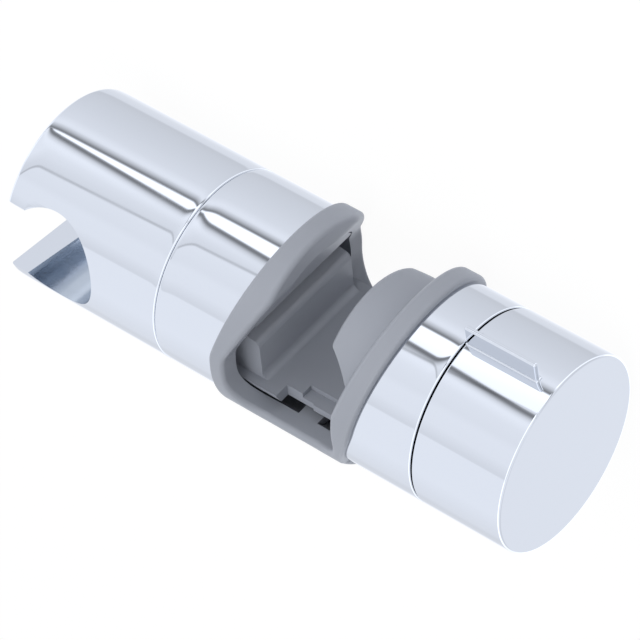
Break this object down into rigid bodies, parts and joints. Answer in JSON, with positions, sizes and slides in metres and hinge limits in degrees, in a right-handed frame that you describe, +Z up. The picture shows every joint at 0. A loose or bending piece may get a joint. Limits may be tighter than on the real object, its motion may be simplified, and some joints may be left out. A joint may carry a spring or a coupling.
{
  "type": "shower rail slider",
  "caption": "Round chrome-finished slider that clamps on a shower riser rail with a turning knob and carries a tilting tapered handset holder.",
  "frame": {"origin": "on the axis of the round body, midway between its two seams, level with the middle of the rail channel", "axes": "+X along the round body towards the knob, +Y out of the rail channel's mouth, towards the wall, +Z up along the rail"},
  "size_m": [0.1116, 0.0435, 0.0404],
  "materials": {
    "chrome_plate": "bright chrome plating on plastic",
    "grey_plastic": "satin grey moulded plastic",
    "natural_acetal": "unpainted off-white moulded plastic",
    "stainless_steel": "plain stainless steel",
    "brass": "plain brass"
  },
  "bodies": {
    "saddle": {"rail_saddle": "grey_plastic", "rail_liner": "grey_plastic", "left_sleeve": "chrome_plate", "right_sleeve": "chrome_plate", "bearing_plate": "natural_acetal", "thrust_washer": "stainless_steel", "swivel_bush": "natural_acetal", "swivel_nut": "brass", "holder_screw": "stainless_steel", "screw_washer": "stainless_steel", "disc_spring": "stainless_steel"},
    "holder": {"handset_holder": "chrome_plate"},
    "jaw": {"clamp_jaw": "grey_plastic"},
    "knob": {"knob": "chrome_plate", "knob_core": "natural_acetal", "retaining_clip": "stainless_steel"}
  },
  "joints": [
    {"name": "holder_swivel", "type": "hinge", "parent": "saddle", "child": "holder", "pos_m": [-0.0287, 0, 0], "axis": [1, 0, 0], "continuous": true},
    {"name": "knob_turn", "type": "hinge", "parent": "saddle", "child": "knob", "pos_m": [0.0287, 0, 0], "axis": [1, 0, 0], "range_deg": [-60, 480]},
    {"name": "jaw_slide", "type": "slide", "parent": "saddle", "child": "jaw", "axis": [1, 0, 0], "range_m": [-0.001, 0.008]}
  ],
  "couplings": [
    {"joint": "jaw_slide", "follows": "knob_turn", "m_per_rad": 0.00095493}
  ]
}
